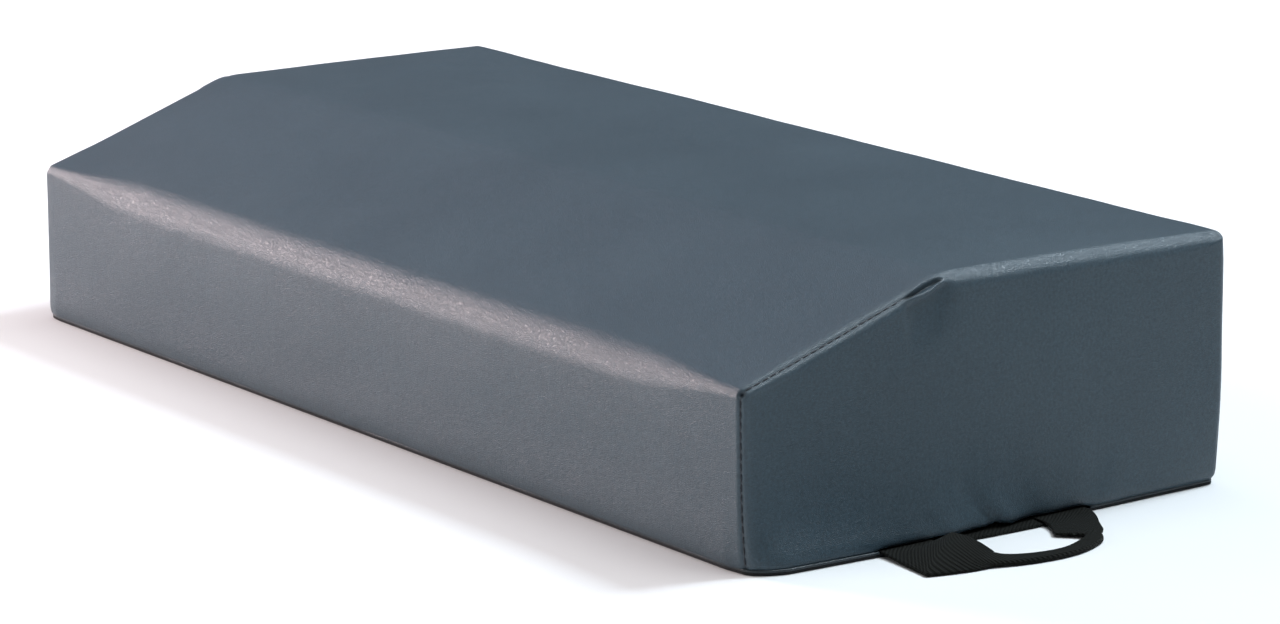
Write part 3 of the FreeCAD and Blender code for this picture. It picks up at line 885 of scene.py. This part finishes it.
def foam_slab(name, low, high):
    """One plank of the core, cut to the mat's outline and eased at its ends."""
    outline = profile(FRONT_ROUND, BACK_ROUND, FOAM_GAP)
    reach = END - FOAM_END_GAP
    lengths = np.linspace(-reach, reach, 41)
    body = np.array([(yy, zz) for yy, zz in outline if low + 0.6 < zz < high - 0.4])
    front = body[body[:, 0] < CREST_Y]
    back = body[body[:, 0] >= CREST_Y]
    ring = [front[0] * (1, 0) + (0, low + 0.3)]
    ring.extend(front)
    if high < TOP:
        ring.append((front[-1][0], high - 0.3))
        ring.append((back[0][0], high - 0.3))
    ring.extend(back)
    ring.append((back[-1][0], low + 0.3))
    ring = np.array(ring, float)
    points, faces = [], []
    for x in lengths:
        ease = 1 - 0.006 * bell(abs(x) - reach, 4)
        for yy, zz in ring:
            points.append((x, yy * ease, zz))
    n = len(ring)
    for k in range(len(lengths) - 1):
        for j in range(n):
            m = (j + 1) % n
            faces.append((k * n + j, (k + 1) * n + j, (k + 1) * n + m, k * n + m))
    faces.append(tuple(range(n)))
    faces.append(tuple((len(lengths) - 1) * n + j for j in range(n))[::-1])
    slab = add_mesh(name.replace("slab", "plank"), points, faces, False)
    bm = bmesh.new()
    bm.from_mesh(slab.data)
    bmesh.ops.recalc_face_normals(bm, faces=bm.faces)
    bm.to_mesh(slab.data)
    bm.free()
    dress(slab, FOAM, "root", "foam", name)


foam_slab("foam_lower_slab", 2.4, 50)
foam_slab("foam_middle_slab", 50, 100)
foam_slab("foam_upper_slab", 100, TOP)


def foot_outline(inset, corner, step=5.0):
    """The mat's plan at the floor, anticlockwise from the front, with the handle end's flare."""
    long, wide = END - inset, BACK - inset
    pts = []
    arc = np.linspace(0, math.pi / 2, 7)
    for cx, cy, start in (
        (long - corner, -wide + corner, -math.pi / 2),
        (long - corner, wide - corner, 0),
        (-long + corner, wide - corner, math.pi / 2),
        (-long + corner, -wide + corner, math.pi),
    ):
        turns = start + arc
        pts.extend((cx + corner * math.cos(a), cy + corner * math.sin(a)) for a in turns)
    pts = np.array(pts)
    filled = []
    for a, b in zip(pts, np.roll(pts, -1, 0)):
        n = max(1, int(np.linalg.norm(b - a) / step))
        filled.extend(a + (b - a) * t for t in np.linspace(0, 1, n, endpoint=False))
    filled = np.array(filled)
    filled[:, 0] += foot_out(filled[:, 0] * END / long, filled[:, 1], np.full(len(filled), 2.0))
    middle = 1 - smooth(384, 400, np.abs(filled[:, 0]))
    filled[:, 1] -= 1.6 * smooth(-wide + 14, -wide, filled[:, 1]) * middle
    return filled


def base_panel():
    """The non-slip base: a flat sheet with its lower edge rounded."""
    outline = foot_outline(1.2, 4.0)
    rings = [(0.9, 0.0), (0.25, 0.25), (0.0, 0.9), (0.0, 2.0)]
    points, faces = [], []
    n = len(outline)
    along = np.roll(outline, -1, 0) - np.roll(outline, 1, 0)
    outward = unit(np.column_stack([along[:, 1], -along[:, 0]]))
    for back_off, z in rings:
        for p in outline - outward * back_off:
            points.append((*p, z))
    for k in range(len(rings) - 1):
        for j in range(n):
            m = (j + 1) % n
            faces.append((k * n + j, k * n + m, (k + 1) * n + m, (k + 1) * n + j))
    faces.append(tuple(range(n))[::-1])
    faces.append(tuple((len(rings) - 1) * n + j for j in range(n)))
    panel = add_mesh("base_sheet", points, faces, False)
    dress(panel, BASE, "root", "base_fabric", "base_panel")


base_panel()


def bottom_welt():
    """The bead sewn between cover and base, open where the handle's webbing passes."""
    path = foot_outline(1.6, 4.5, 4.0)
    start, stop = STRAP_WAY
    blocked = (path[:, 0] > END - 20) & (path[:, 1] > start - 0.8) & (path[:, 1] < stop + 0.8)
    start = int(np.argmax(blocked))
    order = np.roll(np.arange(len(path)), -start)
    runs, current = [], []
    for i in order:
        if blocked[i]:
            if len(current) > 1:
                runs.append(current)
            current = []
        else:
            current.append(i)
    if len(current) > 1:
        runs.append(current)
    parts = [tube(np.column_stack([path[run], np.full(len(run), 2.6)]), 0.85, 10) for run in runs]
    welt = add_mesh("welt_cord", *joined(parts))
    # The welt's darkened vinyl is painted shade under the cover's hem.
    dress(welt, WELT, "root", "vinyl", "bottom_welt")


bottom_welt()


# ---------------------------------------------------------------- handle


def folded(across, out_edge, in_edge, low, high):
    """A webbing rolled flat into a grip: down the inside, under, up the outside, over the top."""
    t = np.asarray(across)
    wide = np.asarray(in_edge) - np.asarray(out_edge)
    marks = [0.0, 0.24, 0.32, 0.64, 0.72, 1.0]
    flat = [0.55, 0.02, 0.02, 0.98, 0.98, 0.45]
    level = [low, low, high, high, low + 0.9, low + 0.9]
    u = np.interp(t, marks, flat)
    z = np.interp(t, marks, level)
    xy = np.asarray(out_edge)[None] + u[:, None] * wide[None]
    return np.column_stack([xy, z])


def handle_sections():
    """Cross-sections of the webbing from its front end to its rear end."""
    rows = [
        # outer edge (out from the end, y), inner edge, their heights, crown, how far rolled
        ((-26, -86), (-26, -48), STRAP_LEVEL, STRAP_LEVEL, 0.0, 0.0),
        ((-8, -86), (-8, -48), STRAP_LEVEL, STRAP_LEVEL, 0.0, 0.0),
        ((10, -86), (10, -48), STRAP_LEVEL, STRAP_LEVEL, 0.0, 0.0),
        ((20, -86), (19, -48), 2.5, 3.2, 0.2, 0.0),
        ((33, -87.4), (23, -47.0), 1.4, 7.5, 1.0, 0.0),
        ((47, -89.0), (27, -47.0), 1.0, 10.4, 1.6, 0.0),
        ((57.5, -90.2), (31, -48.0), 0.9, 11.5, 1.8, 0.0),
        ((62.6, -90.6), (34, -48.4), 0.9, 11.8, 1.8, 0.0),
        ((64.2, -86.4), (37.5, -48.0), 0.9, 11.8, 1.8, 0.0),
        ((67.0, -74.0), (43.5, -46.6), 0.9, 11.3, 1.7, 0.0),
        ((69.6, -62.0), (50.5, -42.6), 0.9, 9.4, 1.2, 0.1),
        ((71.6, -50.0), (57.0, -36.6), 0.9, 6.6, 0.8, 0.4),
        ((73.6, -37.0), (61.6, -28.6), 1.0, 4.6, 0.4, 0.75),
        ((75.2, -23.0), (65.6, -17.5), 1.0, 3.6, 0.2, 1.0),
        ((75.6, -8.0), (66.8, -6.0), 1.0, 3.4, 0.0, 1.0),
        ((73.8, 6.0), (65.4, 4.0), 1.0, 3.4, 0.0, 1.0),
        ((69.6, 18.0), (61.4, 14.0), 1.0, 3.4, 0.0, 1.0),
        ((62.8, 31.0), (55.2, 24.0), 1.0, 3.3, 0.0, 0.9),
        ((56.4, 38.5), (48.6, 28.4), 1.0, 3.0, 0.1, 0.6),
        ((50.0, 44.0), (42.0, 21.0), 1.0, 2.6, 0.3, 0.25),
        ((42.0, 49.0), (36.5, 18.8), 1.0, 2.0, 0.5, 0.0),
        ((31.0, 55.0), (28.5, 23.2), 1.4, 2.0, 0.4, 0.0),
        ((20.0, 61.5), (20.0, 27.2), 2.3, 2.5, 0.1, 0.0),
        ((9.0, 65.5), (9.0, 28.0), STRAP_LEVEL, STRAP_LEVEL, 0.0, 0.0),
        ((-8, 66), (-8, 28), STRAP_LEVEL, STRAP_LEVEL, 0.0, 0.0),
        ((-26, 66), (-26, 28), STRAP_LEVEL, STRAP_LEVEL, 0.0, 0.0),
    ]
    return spline([(*outer, *inner, *rest) for outer, inner, *rest in rows], 170)


def weave_uv(piece, wide, long):
    """Gives a strip of webbing its weave's coordinates, in millimetres across and along."""
    layer = piece.data.uv_layers.new(name="weave")
    for loop in piece.data.loops:
        layer.data[loop.index].uv = (wide[loop.vertex_index], long[loop.vertex_index])


def handle_backing():
    """The webbing between the handle's two ends, sewn flat under the end's foot."""
    outs = np.linspace(-26, 15, 22)
    ys = np.linspace(-47.7, 27.7, 40)
    points, faces = [], []
    for out in outs:
        sag = 1.5 * smooth(-4, 15, out)
        for y in ys:
            bow = 1.2 * math.sin((y + 47.7) / 75.4 * math.pi) * float(smooth(0, 15, out))
            points.append((END + out + bow, y, STRAP_LEVEL - sag))
    n = len(ys)
    for k in range(len(outs) - 1):
        for j in range(n - 1):
            faces.append((k * n + j, (k + 1) * n + j, (k + 1) * n + j + 1, k * n + j + 1))
    strip = add_mesh("webbing_backing", points, faces)
    grid = np.array(points)
    weave_uv(strip, grid[:, 0] - END, grid[:, 1])
    apply_modifier(strip, "SOLIDIFY", thickness=WEBBING_THICKNESS * MM, offset=0.0)
    dress(strip, WEBBING, "root", "webbing", "handle_backing")


def handle():
    """The handle is one strip of webbing, sewn in at both ends and rolled into a grip between."""
    sections = handle_sections()
    across = np.linspace(0, 1, 29)
    points, run = [], [0.0]
    for k, (ox, oy, ix, iy, zo, zi, crown, roll) in enumerate(sections):
        roll = float(np.clip(roll, 0, 1))
        outer, inner = np.array((ox, oy)), np.array((ix, iy))
        level = zo + (zi - zo) * across**0.8 + crown * np.sin(math.pi * across)
        flat = np.column_stack([outer[None] + across[:, None] * (inner - outer)[None], level])
        grip = folded(across, outer, inner, 1.0, 3.1)
        line = flat * (1 - roll) + grip * roll
        line[:, 0] += END
        points.append(line)
        if k:
            run.append(run[-1] + float(np.linalg.norm(points[-1].mean(0) - points[-2].mean(0))))
    n = len(across)
    faces = []
    for k in range(len(points) - 1):
        for j in range(n - 1):
            faces.append((k * n + j, k * n + j + 1, (k + 1) * n + j + 1, (k + 1) * n + j))
    strap = add_mesh("webbing_handle", np.vstack(points), faces)
    wide = np.repeat(across[None] * WEBBING_WIDTH, len(points), 0).ravel()
    long = np.repeat(np.array(run)[:, None], n, 1).ravel()
    weave_uv(strap, wide, long)
    apply_modifier(strap, "SOLIDIFY", thickness=WEBBING_THICKNESS * MM, offset=0.0)
    strap.data.materials.clear()
    strap.data.materials.append(WEBBING)
    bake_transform(strap)
    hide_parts("handle_loop", "handle_end_front", "handle_end_rear")


handle()
handle_backing()


# ---------------------------------------------------------------- zipper


COIL_PITCH, COIL_HALF, COIL_Y, COIL_WIRE = 1.5, 345.0, 169.8, 0.29
TURN_STEPS = 10


def coil(name, middle, flip):
    """One row of the zipper: a nylon wire wound into flattened, slightly leaning loops."""
    turns = int(2 * COIL_HALF / COIL_PITCH)
    t = np.arange(turns * TURN_STEPS + 1) / TURN_STEPS
    angle = 2 * math.pi * t * (1 if flip else -1)
    lean = 0.35 * np.cos(angle)
    x = -COIL_HALF + t * COIL_PITCH + lean
    path = np.column_stack([x, COIL_Y + 0.75 * np.sin(angle), middle + 1.05 * np.cos(angle)])
    piece = add_mesh(name + "_turns", *tube(path, COIL_WIRE, 6))
    dress(piece, COIL, "root", "zip_coil", name)


coil("zip_coil_upper", 26.4, False)
coil("zip_coil_lower", 23.6, True)


ZIP_STITCH_LEVELS = (17.0, 33.0)
ZIP_STITCH_PITCH, ZIP_STITCH_LENGTH = 4.0, 2.9


def back_surface(x, z):
    """Where the cover's back face stands at a place along the mat and a height."""
    hit, place = cover.ray_cast(Vector((x * MM, 0.4, z * MM)), Vector((0, -1, 0)))[:2]
    return place.y / MM if hit else BACK


def zip_stitches():
    """A row of stitching above the zipper and one below it."""
    parts = []
    for z in ZIP_STITCH_LEVELS:
        line = np.array([(x, 0.0, z) for x in np.arange(-SLOT_HALF, SLOT_HALF + 0.1, 4.0)])
        line[:, 1] = [back_surface(x, z) for x in line[:, 0]]
        facing = np.repeat([(0.0, 1.0, 0.0)], len(line), 0)
        size = (ZIP_STITCH_PITCH, ZIP_STITCH_LENGTH)
        parts.append(stitches(line, facing, 0.5, 0.5, *size, 0.34, sink=-0.1))
    piece = add_mesh("zip_stitches", *joined(parts))
    dress(piece, ZIP_THREAD, "root", "thread", "seam_thread_zip")


zip_stitches()


for node, material in (
    ("zip_tape_upper", TAPE),
    ("zip_tape_lower", TAPE),
    ("zip_slider", METAL),
    ("zip_pull", METAL),
    ("zip_end_stops", METAL),
):
    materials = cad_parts[node].data.materials
    materials.clear()
    materials.append(material)
